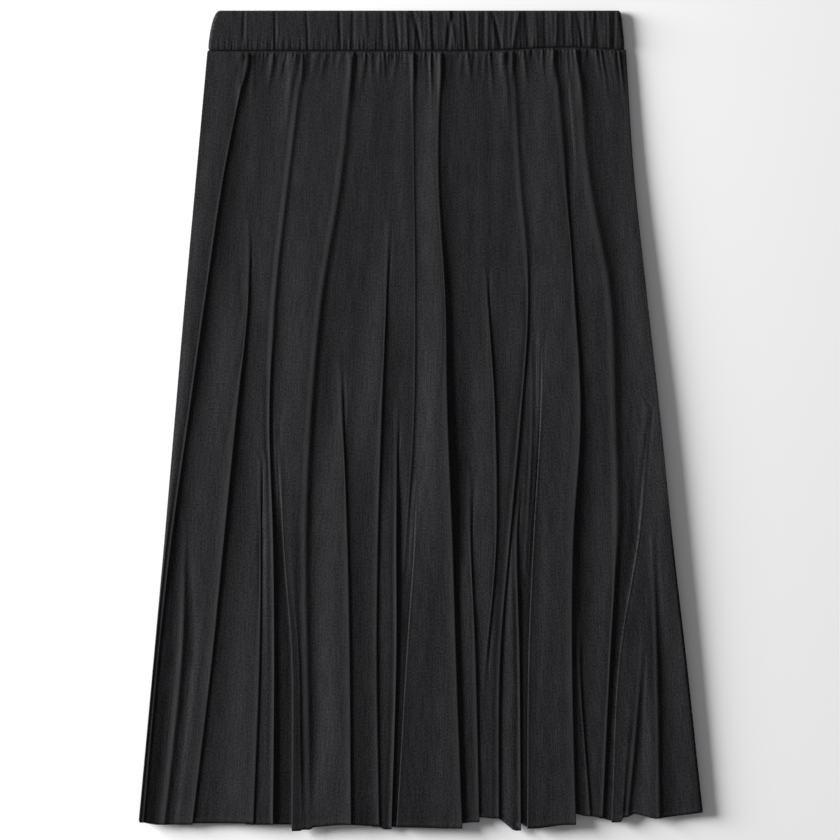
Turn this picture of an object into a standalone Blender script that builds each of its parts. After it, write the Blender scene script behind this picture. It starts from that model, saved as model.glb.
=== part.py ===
"""A pleated knee-length skirt with an elasticated waistband, laid flat on its back.

The front panel lies on the back panel, waist towards +Y and hem towards -Y, on the plane Z = 0.
Each panel is one wall of cloth.  A section across it is a chain of knots: every fold leans right
or left, starts as a soft roll, and further down laps over the cloth beside it in a true Z-fold.
Lengths in the tables are millimetres, and the sheet is drawn on the cloth's right side.
"""
import math
from collections import namedtuple

import bmesh
import bpy

for old in list(bpy.data.objects):
    bpy.data.objects.remove(old, do_unlink=True)

MM = 0.001

# Driving dimensions.
SKIRT_DROP = 636.0          # waist seam to hem, along the middle
BAND_HEIGHT = 33.0
BAND_WALL = 3.0             # casing folded double over the elastic
BAND_HOLLOW = 0.6           # inside the flattened band
BAND_GATHERS = 45
BAND_RUCHE = 0.7            # how far the ruching stands out at the right end
LEFT_RUCHE = 0.55           # and its share at the calmer left end
TURN_STEPS, UNDER_STEPS = 4, 12     # points round a side turn, and across the flat underside
CLOTH = 1.0                 # wall of the panels
LAYER_GAP = 0.4             # air between the layers of a Z-fold
SEAM_GAP = 0.3              # between two pieces that are sewn together
SEAM_Y = 303.0              # where the waist seam lies in the part's frame
FOLD_DEPTH = 2 * CLOTH + LAYER_GAP      # lapping edge down to the underside of its return
BACK_RISE = FOLD_DEPTH + LAYER_GAP      # how far a lap in the back panel stands off the floor
FOOT_ROOM = 0.6             # the wall under a sharp foot reaches lower than the cloth is thick
# The right side of the front panel's lowest cloth, in the middle and at the side seams.
FRONT_FLOOR = BACK_RISE + 2 * CLOTH + SEAM_GAP + FOOT_ROOM
SIDE_FLOOR = 2 * CLOTH + SEAM_GAP
SIDE_ROLL = 14.0            # width over which a panel rolls down to its side seam

# Stations down the skirt, measured from the waist seam, where the tables give positions across.
STATION_COLUMN = 10         # first column of a fold's row that gives a place across
STATIONS = (0, 100, 200, 300, 400, 500, 636)
LEFT_EDGE = (-175, -184, -193, -201.5, -210, -219, -231)
RIGHT_EDGE = (168, 174.5, 185, 196, 206, 217.5, 231)
HEM_LEFT, HEM_RIGHT = -6.0, -12.0       # hem below the nominal drop at the two side seams

# Sections down a panel, closer where the gathers are.
FRONT_ROWS = (0, 16, 40, 80, 130, 185, 240, 295, 345, 395, 450, 515, 580, 636)
BACK_ROWS = (0, 16, 40, 80, 140, 220, 310, 400, 490, 570, 636)

# Loops of the waistband.  up: share of its height; inset: how far the edge is pressed in.
BandRow = namedtuple("BandRow", "side up left right inset ruche")
BAND_ROWS = [BandRow(*row) for row in (
    #  side     up    left    right  inset ruche
    ("outer", 0.00, -175.0, 167.5, 0.8, 1.0),
    ("outer", 0.10, -175.0, 167.0, 0.0, 1.0),
    ("outer", 0.45, -172.0, 166.0, 0.0, 0.6),
    ("outer", 0.90, -169.0, 164.5, 0.0, 0.8),
    ("outer", 1.00, -167.5, 164.0, 0.8, 0.6),
    ("inner", 1.00, -167.5, 164.0, 0.0, 0.0),
    ("inner", 0.00, -175.0, 167.5, 0.0, 0.0),
)]

# A fold.  lean: +1 laps towards +X, -1 towards -X.  starts, laps, ends: how far down it begins
# to rise, begins to lap over, and is gone.  tuck: how far it laps at the hem.  rise: its height
# at the hem.  reach: width of its soft side while it doesn't lap.  hem, foot_hem: how far the hem
# hangs below the nominal drop at its edge and at the cloth beside it.  at_...: place across.
Fold = namedtuple("Fold", "name lean starts laps ends tuck rise reach hem foot_hem"
                  " at_0 at_100 at_200 at_300 at_400 at_500 at_636")
NEVER = 9999
__ = None

FRONT_FOLDS = [Fold(*row) for row in (
    # name             lean start  laps  ends tuck rise reach hem foot    0  100  200  300  400  500  636
    ("left_side",         1,   0,  135,  390,  5,  8,   8, -4, -4,-141,-161,-176,-190,-204,  __,  __),
    ("left_roll",         1, 380,NEVER,NEVER,  0,  6,  10, -2, -2,  __,  __,  __,  __,-195,-198,-213),
    ("left_outer",        1, 140,  230,NEVER, 10,  9,   9, -2, -3,  __,-141,-141,-151,-161,-171,-187),
    ("left_inner",        1, 330,  420,NEVER,  7,  8,   8, -3, -2,  __,  __,  __,-131,-131,-132,-137),
    ("left_ridge",        1,   0,  320,NEVER,  6, 10,   8, -2, -2,-104,-115,-125,-126,-120,-119,-120),
    ("left_facing",      -1, 320,  420,NEVER,  6, 12,   7,  3, -2,  __,  __,  __,-117,-113,-106,-106),
    ("second_ridge",      1,   0,NEVER,  510,  0,  7,  12,  2,  0, -57, -66, -80, -91, -95, -98,  __),
    ("second_lap",        1, 250,  342,NEVER,  8,  8,   9, -2, -2,  __,  __,  __, -64, -60, -58, -57),
    ("centre_left",       1, 140,  232,NEVER,  7,  9,   9, -1,  0,  __,  __, -28, -32, -35, -36, -34),
    ("centre_lap",        1, 290,  380,NEVER,  6, 11,   8,  2,  0,  __,  __,  __, -19, -20, -20, -24),
    ("centre_crease",     1,   0,NEVER,  380,  0,  4,   5,  0,  0,  -7,  -6,  -5,  -6, -12,  __,  __),
    ("centre_facing",    -1, 350,  446,NEVER,  7, 12,   8,  0,  0,  __,  __,  __,   0,  -5, -12, -20),
    ("centre_right",      1,   0,  215,NEVER,  9,  9,  10,  1, -3,  16,  16,  20,  22,  26,  29,  34),
    ("third_lap",         1, 345,  440,NEVER,  6,  7,   7, -4, -8,  __,  __,  __,  42,  41,  45,  48),
    ("third_fade",        1, 140,  232,  425,  5,  8,   8,  0,  0,  __,  48,  54,  61,  63,  __,  __),
    ("fourth_ridge",      1,   0,  325,NEVER,  5, 11,   8, -7, -7,  67,  81,  86,  81,  73,  63,  59),
    ("fourth_split",      1, 350,  446,NEVER,  5, 12,   5,  3, -3,  __,  __,  __,  85,  79,  81,  82),
    ("fifth_thin",        1, 155,NEVER,  390,  0,  4,   4,  0,  0,  __,  __,  91,  91,  87,  __,  __),
    ("fifth_facing",     -1, 230,  325,NEVER,  7, 11,   8,  1,  0,  __,  __, 101,  98,  92,  88,  87),
    ("fifth_lap",         1,   0,  160,NEVER,  9,  9,  10, -2,-11, 108, 120, 126, 131, 125, 124, 127),
    ("fifth_crease",      1, 440,  560,NEVER,  4,  7,   6, -9, -9,  __,  __,  __,  __, 131, 130, 139),
    ("right_ridge",       1,   0,  400,NEVER,  4, 10,  12, -8, -7, 127, 140, 154, 158, 160, 155, 149),
    ("right_facing",     -1, 300,  392,NEVER,  8, 11,   8, -4, -5,  __,  __,  __, 188, 178, 162, 156),
    ("right_groove",      1, 480,NEVER,NEVER,  0,  6,   7, -8,-11,  __,  __,  __,  __,  __, 184, 174),
    ("right_outer",       1, 400,NEVER,NEVER,  0,  5,   6, -7, -8,  __,  __,  __,  __, 193, 196, 198),
)]

BACK_FOLDS = [Fold(*row) for row in (
    # name             lean start  laps  ends tuck rise reach hem foot    0  100  200  300  400  500  636
    ("back_left",        -1,  60,  145,NEVER, 18,  1,  12, -4, -6,-128,-136,-146,-156,-166,-176,-188),
    ("back_second",       1,  20,  145,NEVER, 16,  1,  12, -2, -5, -90, -94,-100,-106,-113,-119,-127),
    ("back_third",        1,  20,  145,NEVER, 18,  1,  12, -3, -5, -52, -55, -60, -66, -72, -77, -84),
    ("back_middle",      -1,  20,  145,NEVER, 17,  1,  12,  0, -3, -12, -12, -14, -17, -20, -22, -26),
    ("back_right",        1,  20,  225,NEVER, 19,  1,  12, -1, -4,  34,  37,  40,  45,  50,  55,  62),
    ("back_sixth",        1, 150,  315,NEVER, 16,  1,  12, -3, -6,  76,  80,  85,  92,  98, 104, 112),
    ("back_seventh",     -1,  20,  145,NEVER, 18,  1,  12, -5, -8, 116, 122, 131, 140, 148, 157, 168),
)]

GATHER_FADE = 62.0          # how far down the gathers reach
GATHER_HEIGHT = 0.75
SEAM_LIFT, LIFT_AT, LIFT_WIDTH = 3.0, 118.0, 45.0   # the waist seam rides up towards the right
LIFT_FADE = 100.0           # how far down that tells
HEM_SHAPED, HEM_SHARPNESS = 480.0, 1.5      # how far down the stepped hem begins to tell
UNDER_HEM = 2.0             # the hidden layers of a fold are this much shorter at the hem
CLOTH_COLOUR = (0.022, 0.022, 0.024)
CLOTH_ROUGHNESS = 0.85

# How a fold grows from the cloth round it.
GROWS_OVER, FADES_OVER = 45.0, 60.0
WAIST_RELIEF = 0.4          # its height at the waist as a share of that at the hem
CREST_SHARE = 0.6           # a soft crest begins this share of its reach before its top
CLOSES_OVER = 90.0          # it steepens over this length before it laps
STEEP_REACH = 2.0           # its width where it begins to lap
STEEP_FOOT = 0.3            # and the share of its spare height that its foot keeps there
FIRST_LAP, LAP_GROWS_OVER = 3.0, 120.0
CROWN_ROOM = 1.8            # the cloth stays level this far past the hidden turn under it
LAP_SLOPE = 0.25            # steepest cloth over its own return, so that the layers stay clear
TURN_ROOM = 2.5             # least cloth left between two neighbouring folds
LAP_KNOTS, ROLL_KNOTS = 6, 3    # of a fold that laps further down, and of one that stays a roll
# Knots of a roll's soft side: place across when soft, and when steep, and the drop when steep.
SOFT_STEPS = ((0.2, 0.45, 0.7), (0.5, 0.75, 0.88), (0.8, 0.9, 0.96), (1.0, 1.0, 1.0))

# How a panel lies.  side: height of its side seams in the fold profile; flat: all cloth between
# folds lies at full height, pressed on the floor; roll: width over which it climbs from a foot.
Lie = namedtuple("Lie", "flat side roll soft_foot spare_knots side_knots")
FRONT_LIE = Lie(flat=False, side=0.0, roll=24.0, soft_foot=0.3, spare_knots=1, side_knots=6)
BACK_LIE = Lie(flat=True, side=BACK_RISE, roll=14.0, soft_foot=0.5, spare_knots=5, side_knots=5)


def smooth(share):
    share = min(1.0, max(0.0, share))
    return share * share * (3 - 2 * share)


def along(values, down):
    """Value at a distance below the seam, on a smooth curve through the stations' values."""
    known = [(s, v) for s, v in zip(STATIONS, values) if v is not None]
    spans = list(zip(known, known[1:]))
    index = next((i for i, (_, high) in enumerate(spans) if down <= high[0]), len(spans) - 1)
    (s0, v0), (s1, v1) = spans[index]
    before = known[index - 1] if index else (2 * s0 - s1, 2 * v0 - v1)
    after = known[index + 2] if index + 2 < len(known) else (2 * s1 - s0, 2 * v1 - v0)
    t = (down - s0) / (s1 - s0)
    if t < 0 or t > 1:
        return v0 + (v1 - v0) * t
    slope_0 = (v1 - before[1]) / (s1 - before[0]) * (s1 - s0)
    slope_1 = (after[1] - v0) / (after[0] - s0) * (s1 - s0)
    return ((2 * t**3 - 3 * t**2 + 1) * v0 + (t**3 - 2 * t**2 + t) * slope_0
            + (3 * t**2 - 2 * t**3) * v1 + (t**3 - t**2) * slope_1)


class Live:
    """A fold as it is at one section: where, how high, and how far it laps or rolls."""

    def __init__(self, fold, down, lie):
        self.fold = fold
        self.grown = smooth((down - fold.starts) / GROWS_OVER) * smooth((fold.ends - down) / FADES_OVER)
        self.place = along(fold[STATION_COLUMN:], down)
        relief = WAIST_RELIEF + (1 - WAIST_RELIEF) * down / SKIRT_DROP
        self.top = BACK_RISE if lie.flat else fold.rise * relief
        self.lapped = fold.laps <= down < fold.ends - CLOSES_OVER
        if self.lapped:
            lap = FIRST_LAP + (fold.tuck - FIRST_LAP) * smooth((down - fold.laps) / LAP_GROWS_OVER)
            self.behind = CROWN_ROOM + lap
            self.ahead, self.closing, self.foot = 0.0, 1.0, 0.0
            return
        from_lap = min(abs(fold.laps - down), abs(down - fold.ends + CLOSES_OVER))
        self.closing = smooth(1 - from_lap / CLOSES_OVER)
        crest = CREST_SHARE * fold.reach
        self.ahead = fold.reach + (STEEP_REACH - fold.reach) * self.closing
        self.behind = crest + (CROWN_ROOM + STEEP_REACH - crest) * self.closing
        soft_foot = self.top * lie.soft_foot
        steep_foot = max(0.0, self.top - BACK_RISE) * STEEP_FOOT
        self.foot = soft_foot + (steep_foot - soft_foot) * self.closing

    def settle(self, base):
        """Grow out of the cloth that is there before this fold."""
        self.top = base + (self.top - base) * self.grown
        self.foot = base + (self.foot - base) * self.grown
        if self.lapped:
            self.top = max(self.top, BACK_RISE)
            self.foot = min(self.foot, self.top - BACK_RISE)

    def end(self, side):
        """Place, height and whether it is the high side, seen from the cloth on that side."""
        high = side != self.fold.lean
        ahead = 0.0 if high else self.ahead * side
        return self.place + ahead, self.top if high else self.foot, high


def cloth_height(x, left, right, roll):
    """Height of the cloth between two fold ends: it climbs from a low one within a roll."""
    (x0, h0, high_0), (x1, h1, high_1) = left, right
    span = max(x1 - x0, 0.001)
    t = min(1.0, max(0.0, (x - x0) / span))
    width = min(roll, span)
    if high_1 and not high_0:
        return h0 + (h1 - h0) * math.sin(math.pi / 2 * min(1.0, t * span / width))
    if high_0 and not high_1:
        return h1 + (h0 - h1) * math.sin(math.pi / 2 * min(1.0, (1 - t) * span / width))
    return h0 + (h1 - h0) * t


def height_at(x, live, edges, lie):
    left = max((f for f in live if f.place < x), key=lambda f: f.place, default=None)
    right = min((f for f in live if f.place >= x), key=lambda f: f.place, default=None)
    left_end = left.end(+1) if left else (edges[0], lie.side, lie.flat)
    right_end = right.end(-1) if right else (edges[1], lie.side, lie.flat)
    return cloth_height(x, left_end, right_end, lie.roll)


def live_folds(folds, down, edges, lie):
    """The folds that show at one section, narrowed where two of them would meet."""
    live = []
    for fold in sorted(folds, key=lambda f: f.starts):
        state = Live(fold, down, lie)
        if state.grown > 0.0:
            state.settle(height_at(state.place, live, edges, lie))
            live.append(state)
    live.sort(key=lambda f: folds.index(f.fold))
    for left, right in zip(live, live[1:]):
        left_part = "behind" if left.fold.lean < 0 else "ahead"
        right_part = "behind" if right.fold.lean > 0 else "ahead"
        taken = getattr(left, left_part) + getattr(right, right_part)
        room = right.place - left.place - TURN_ROOM
        if taken > room > 0:
            setattr(left, left_part, getattr(left, left_part) * room / taken)
            setattr(right, right_part, getattr(right, right_part) * room / taken)
    return {state.fold: state for state in live}


def fold_knots(state, lie, live, edges):
    """The knots of a fold, from its own cloth over the edge and back to the cloth beside it."""
    fold, lean = state.fold, state.fold.lean
    edge = state.place
    back = edge - lean * state.behind
    turn = back + lean * CROWN_ROOM
    crown = height_at(back, list(live.values()), edges, lie)
    mid_hem = (fold.hem + fold.foot_hem) / 2
    if state.lapped:
        crown = min(max(crown, BACK_RISE, state.top - LAP_SLOPE * state.behind), state.top)
        knots = [(back, crown, fold.hem), (edge, state.top, fold.hem),
                 (edge, state.top - FOLD_DEPTH, fold.hem),
                 (turn, crown - FOLD_DEPTH, mid_hem - UNDER_HEM),
                 (turn, crown - BACK_RISE, mid_hem - UNDER_HEM),
                 (edge, state.foot, fold.foot_hem)]
    else:
        knots = [(back, min(crown, state.top), fold.hem), (edge, state.top, fold.hem)]
        for soft, steep, steep_drop in SOFT_STEPS if fold.tuck else SOFT_STEPS[-1:]:
            step = soft + (steep - soft) * state.closing
            share = smooth(soft) + (steep_drop - smooth(soft)) * state.closing
            knots.append((edge + lean * state.ahead * step, state.top - (state.top - state.foot) * share,
                          fold.hem + (fold.foot_hem - fold.hem) * step))
    return knots if lean > 0 else knots[::-1]


def evenly(values):
    """Fill the gaps (None) of a list in equal steps between the values beside them."""
    known = [i for i, value in enumerate(values) if value is not None]
    filled = list(values)
    for low, high in zip(known, known[1:]):
        for i in range(low + 1, high):
            filled[i] = values[low] + (values[high] - values[low]) * (i - low) / (high - low)
    return filled


def section(folds, lie, down):
    """Knots (x, height, hem drop) of one section, the same number at every distance down."""
    edges = along(LEFT_EDGE, down), along(RIGHT_EDGE, down)
    live = live_folds(folds, down, edges, lie)
    spare = [(None, None, None, None)]
    chain = [(edges[0], lie.side, HEM_LEFT, edges[0])] + spare * lie.side_knots
    for fold in folds:
        count = LAP_KNOTS if fold.tuck else ROLL_KNOTS
        knots = fold_knots(live[fold], lie, live, edges) if fold in live else [(None,) * 3] * count
        edge_knot = 1 if fold.lean > 0 else count - 2
        for number, knot in enumerate(knots):
            from_seam = fold.starts == 0 and number == edge_knot
            chain.append(knot + (fold.at_0 if from_seam else None,))
        chain += spare * (lie.side_knots if fold is folds[-1] else lie.spare_knots)
    chain.append((edges[1], lie.side, HEM_RIGHT, edges[1]))
    across, heights, hems, at_seam = zip(*chain)
    spread = 1 - smooth(down / GATHER_FADE)
    knots = []
    for x, height, hem, even_x in zip(evenly(across), heights, evenly(hems), evenly(at_seam)):
        if height is None:
            height = height_at(x, list(live.values()), edges, lie)
        knots.append((x + (even_x - x) * spread, height, hem))
    return knots


def seam_lift(x):
    return SEAM_LIFT * math.exp(-((x - LIFT_AT) / LIFT_WIDTH) ** 2)


def uneven(number):
    """Share of its full height that one gather of a row has, from 0.4 to 1."""
    return 0.7 + 0.3 * math.sin(1.9 * number) * math.cos(0.37 * number)


def gather(number, down):
    """How far a knot stands out in the gathers below the seam: every second one is a crest."""
    fade = 1 - smooth(down / GATHER_FADE)
    return GATHER_HEIGHT * fade * uneven(number) * (1 if number % 2 else -1)


def front_point(number, knot, down, edges):
    x, height, _ = knot
    in_from_side = min(x - edges[0], edges[1] - x) / SIDE_ROLL
    rolled = math.sin(math.pi / 2 * min(1.0, max(0.0, in_from_side)))
    floor = SIDE_FLOOR + (FRONT_FLOOR - SIDE_FLOOR) * rolled
    return x, floor + height + gather(number, down) * rolled


def back_point(number, knot, down, edges):
    x, height, _ = knot
    rolled = min(1.0, max(0.0, min(x - edges[0], edges[1] - x) / SIDE_ROLL))
    return x, BACK_RISE - height + max(0.0, gather(number, down)) * rolled


def place_down(knot, down):
    """Y of a knot: the seam rides up to the right, and each fold has its own hem."""
    x, _, hem = knot
    near_seam = 1 - smooth(down / LIFT_FADE)
    near_hem = max(0.0, (down - HEM_SHAPED) / (SKIRT_DROP - HEM_SHAPED)) ** HEM_SHARPNESS
    return SEAM_Y - SEAM_GAP / 2 + seam_lift(x) * near_seam - down - hem * near_hem


def new_piece(name, bm):
    mesh = bpy.data.meshes.new(name)
    bm.to_mesh(mesh)
    bm.free()
    piece = bpy.data.objects.new(name, mesh)
    skirt.objects.link(piece)
    material = bpy.data.materials.new(name + "_cloth")
    material.use_nodes = True
    shader = material.node_tree.nodes["Principled BSDF"]
    shader.inputs["Base Color"].default_value = (*CLOTH_COLOUR, 1.0)
    shader.inputs["Roughness"].default_value = CLOTH_ROUGHNESS
    shader.inputs["Metallic"].default_value = 0.0
    mesh.materials.append(material)
    return piece


def wall(piece):
    """Give a sheet its thickness, from its right side inwards."""
    solid = piece.modifiers.new("cloth wall", "SOLIDIFY")
    solid.thickness = CLOTH * MM
    solid.offset = -1.0
    solid.use_even_offset = True
    solid.use_quality_normals = True


def panel(name, folds, lie, rows, point, right_side_up):
    """Loft one panel through its sections and give it its wall."""
    bm = bmesh.new()
    grid = []
    for down in rows:
        edges = along(LEFT_EDGE, down), along(RIGHT_EDGE, down)
        row = []
        for number, knot in enumerate(section(folds, lie, down)):
            x, z = point(number, knot, down, edges)
            row.append(bm.verts.new((x * MM, place_down(knot, down) * MM, z * MM)))
        grid.append(row)
    for upper, lower in zip(grid, grid[1:]):
        for i in range(len(upper) - 1):
            quad = (upper[i], lower[i], lower[i + 1], upper[i + 1])
            bm.faces.new(quad if right_side_up else quad[::-1])
    piece = new_piece(name, bm)
    wall(piece)
    return piece


def band_loop(row):
    """One loop round the flattened band, at a share of its height, seen along Y."""
    inner = row.side == "inner"
    radius = BAND_HOLLOW / 2 if inner else BAND_WALL + BAND_HOLLOW / 2 - row.inset
    middle = turn = BAND_WALL + BAND_HOLLOW / 2
    loop = []
    for i in range(BAND_GATHERS * 2 + 1):
        share = i / (BAND_GATHERS * 2)
        ruche = 0.0 if inner or share in (0.0, 1.0) else band_ruche(i, share) * row.ruche
        x = row.left + turn + (row.right - row.left - 2 * turn) * share
        loop.append((x, middle + radius + ruche))
    for side, edge in ((1, row.right - turn), (-1, row.left + turn)):
        for step in range(1, TURN_STEPS):
            angle = math.pi / 2 - math.pi * step / TURN_STEPS
            loop.append((edge + side * radius * math.cos(angle), middle + side * radius * math.sin(angle)))
        if side > 0:
            for i in range(UNDER_STEPS, -1, -1):
                x = row.left + turn + (row.right - row.left - 2 * turn) * i / UNDER_STEPS
                loop.append((x, middle - radius))
    return loop


def band_ruche(number, share):
    """The elastic ruches the band, more towards its right end."""
    taller = LEFT_RUCHE + (1 - LEFT_RUCHE) * share
    return BAND_RUCHE * uneven(number) * taller * (1 if number % 2 else -1)


def waistband():
    """A tube of casing, flattened: loops of its right side, then of its plain inner side."""
    bm = bmesh.new()
    rings = []
    for row in BAND_ROWS:
        ring = []
        for x, z in band_loop(row):
            low_y = SEAM_Y + SEAM_GAP / 2 + seam_lift(x)
            y = low_y + (SEAM_Y + BAND_HEIGHT - low_y) * row.up
            ring.append(bm.verts.new((x * MM, y * MM, z * MM)))
        rings.append(ring)
    for ring, following in zip(rings, rings[1:] + rings[:1]):
        for i in range(len(ring)):
            j = (i + 1) % len(ring)
            bm.faces.new((ring[i], ring[j], following[j], following[i]))
    return new_piece("waistband", bm)


skirt = bpy.data.collections.new("pleated_skirt")
bpy.context.scene.collection.children.link(skirt)
waistband()
panel("skirt_back", BACK_FOLDS, BACK_LIE, BACK_ROWS, back_point, right_side_up=False)
panel("skirt_front", FRONT_FOLDS, FRONT_LIE, FRONT_ROWS, front_point, right_side_up=True)
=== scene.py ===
# %% [markdown]
# # A pleated skirt laid flat
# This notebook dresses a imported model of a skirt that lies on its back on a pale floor. The model's three
# solids are the front panel, the back panel and the waistband. Each is hidden here and a finer piece of
# cloth takes its place. The frame gives the solids, in metres, with +Y towards the waist and +Z up.

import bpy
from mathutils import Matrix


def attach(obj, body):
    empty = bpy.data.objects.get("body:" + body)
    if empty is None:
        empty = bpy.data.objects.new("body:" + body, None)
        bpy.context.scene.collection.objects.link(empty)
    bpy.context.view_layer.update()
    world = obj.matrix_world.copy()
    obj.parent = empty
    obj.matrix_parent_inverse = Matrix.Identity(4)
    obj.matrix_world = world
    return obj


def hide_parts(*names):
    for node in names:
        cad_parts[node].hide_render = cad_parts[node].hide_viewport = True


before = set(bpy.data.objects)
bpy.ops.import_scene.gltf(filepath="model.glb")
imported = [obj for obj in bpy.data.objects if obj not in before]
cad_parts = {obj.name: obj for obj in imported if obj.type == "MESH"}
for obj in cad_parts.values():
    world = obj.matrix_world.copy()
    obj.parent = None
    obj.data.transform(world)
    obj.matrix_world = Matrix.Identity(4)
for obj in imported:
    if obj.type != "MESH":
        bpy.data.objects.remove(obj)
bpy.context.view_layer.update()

# %% [markdown]
# ## Sizes
# A tailor would give a skirt's sizes in millimetres, so this script does too and turns them to metres at
# the end. Distances down the skirt are measured from the waist seam. The cloth is a mid-weight suiting, a
# little under half a millimetre thick, so two layers of it still fold to a sharp edge.

# %% Sizes
import math
from collections import namedtuple

import bmesh
import bpy
from mathutils import Vector, noise

MM = 0.001
CLOTH = 0.45                # thickness of the suiting
LAYER_GAP = 0.25            # air between the layers of a lap
SEAM_GAP = 0.3              # the waistband and the side seams stay this far apart
SEAM_Y = 303.0              # the waist seam's place along Y
SKIRT_DROP = 636.0          # waist seam to hem
BAND_HEIGHT = 33.0
FOLD_DEPTH = 2 * CLOTH + LAYER_GAP      # a lap's edge, down to the underside of its return
LAP_RISE = FOLD_DEPTH + LAYER_GAP       # least height of a lap over the cloth that it covers
FRONT_FLOOR = 4.6           # height of the front panel's face over the floor, where it has no folds
SIDE_FLOOR = 2 * CLOTH + 0.1            # and where it turns down at the side seams
SIDE_ROLL = 32.0            # width of the soft slope at a side seam
print("a lap stands at least", round(LAP_RISE, 2), "mm high")

# %% [markdown]
# ## The outline and the folds
# The skirt flares from a 34 cm waist to a 46 cm hem. Real pleats wander: they start at different heights,
# lean to either side and lap more towards the hem. Each gets a row in a table, with its place across at a
# few stations down the skirt, and a smooth curve joins those. Sculpting or a cloth simulation would also
# give folds, but not these folds in these places, so the table was chosen.

# %% Stations and the outline
STATIONS = (0, 100, 200, 300, 400, 500, 636)
LEFT_EDGE = (-175, -184, -193, -201.5, -210, -219, -231)
RIGHT_EDGE = (168, 174.5, 185, 196, 206, 217.5, 231)
LEFT_RIM = (1.6, 2.4, 3.1, 3.7, 4.3, 5.0, 5.6)  # how far the front panel's rims stand up
RIGHT_RIM = (0.6, 2.0, 3.4, 4.4, 4.6, 3.6, 2.5)
Sides = namedtuple("Sides", "left right left_rim right_rim")


def smooth(share):
    """0 to 1 with a soft start and a soft end."""
    share = min(1.0, max(0.0, share))
    return share * share * (3 - 2 * share)


def mix(low, high, share):
    return low + (high - low) * share


def along(values, down):
    """Value at a distance below the seam, on a smooth curve through the stations' values."""
    known = [(s, v) for s, v in zip(STATIONS, values) if v is not None]
    spans = list(zip(known, known[1:]))
    index = next((i for i, (_, high) in enumerate(spans) if down <= high[0]), len(spans) - 1)
    (s0, v0), (s1, v1) = spans[index]
    before = known[index - 1] if index else (2 * s0 - s1, 2 * v0 - v1)
    after = known[index + 2] if index + 2 < len(known) else (2 * s1 - s0, 2 * v1 - v0)
    t = (down - s0) / (s1 - s0)
    if t < 0 or t > 1:
        return mix(v0, v1, t)
    slope_0 = (v1 - before[1]) / (s1 - before[0]) * (s1 - s0)
    slope_1 = (after[1] - v0) / (after[0] - s0) * (s1 - s0)
    return ((2 * t**3 - 3 * t**2 + 1) * v0 + (t**3 - 2 * t**2 + t) * slope_0
            + (3 * t**2 - 2 * t**3) * v1 + (t**3 - t**2) * slope_1)


def sides_at(down, lie):
    """Where a panel's two sides are, and how far its rims stand up."""
    left, right = along(LEFT_EDGE, down), along(RIGHT_EDGE, down)
    if lie.flat:
        return Sides(left, right, LAP_RISE, LAP_RISE)
    return Sides(left, right, along(LEFT_RIM, down), along(RIGHT_RIM, down))


print("hem:", along(RIGHT_EDGE, SKIRT_DROP) - along(LEFT_EDGE, SKIRT_DROP), "mm wide")

# %% Folds of the front panel
# lean: +1 laps towards +X.  start, laps, ends: how far down it begins to rise, begins to lap, and is gone.
# tuck: how far it laps once fully closed.  mid, rise: height of its edge at mid length and at the hem.
# step: the share of that which is a straight drop. Above 1 the drop ends below the cloth around it, as
# between two folds that face each other.  reach: width of a soft fold's slope, and half the width over
# which the cloth comes down beyond it.
# climb: width of the slope up to it on its other side.  groove: depth of the shallow groove along its edge.
# hem, foot: how far the hem hangs below the nominal drop at the edge and beside it.
Fold = namedtuple("Fold", "name lean start laps ends tuck mid rise step reach climb groove hem foot places")
NEVER = 9999
__ = None                   # not there at this station
FRONT_PLACES = {
    # distance down:        0  100   200   300   400   500   636
    "left_side":      (-141, -161, -176, -190, -204, -215, -227),
    "left_roll":      (  __,   __,   __,   __, -193, -197, -211),
    "left_outer":     (  __, -141, -141, -151, -161, -171, -187),
    "left_inner":     (  __,   __,   __, -131, -131, -132, -137),
    "left_ridge":     ( -97, -109, -120, -124, -121, -120, -121),
    "left_facing":    (  __,   __,   __, -117, -113, -106, -106),
    "second_ridge":   ( -57,  -66,  -82,  -91,  -95,  -94,  -91),
    "second_lap":     (  __,   __,   __,  -64,  -60,  -58,  -57),
    "centre_left":    (  __,   __,  -28,  -32,  -35,  -36,  -34),
    "centre_lap":     (  __,   __,   __,  -19,  -20,  -20,  -24),
    "centre_crease":  (  -7,   -6,   -5,   -6,  -12,   __,   __),
    "centre_facing":  (  __,   __,   __,    0,   -5,  -12,  -20),
    "centre_right":   (  16,   14,   20,   22,   26,   29,   34),
    "third_lap":      (  __,   __,   __,   42,   41,   45,   48),
    "third_fade":     (  __,   __,   55,   61,   62,   54,   __),
    "fourth_ridge":   (  75,   80,   88,   82,   73,   65,   64),
    "fourth_split":   (  __,   __,   __,   85,   79,   81,   82),
    "fifth_thin":     (  __,   __,   91,   91,   87,   __,   __),
    "fifth_facing":   (  __,   __,  101,   98,   92,   88,   87),
    "fifth_lap":      ( 108,  118,  126,  131,  125,  124,  127),
    "fifth_crease":   (  __,   __,   __,   __,  131,  130,  139),
    "right_ridge":    ( 127,  136,  154,  158,  160,  155,  149),
    "right_facing":   (  __,   __,   __,  188,  178,  162,  156),
    "right_groove":   (  __,   __,   __,   __,   __,  181,  169),
    "right_outer":    (  __,   __,   __,   __,  190,  193,  195),
}
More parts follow.
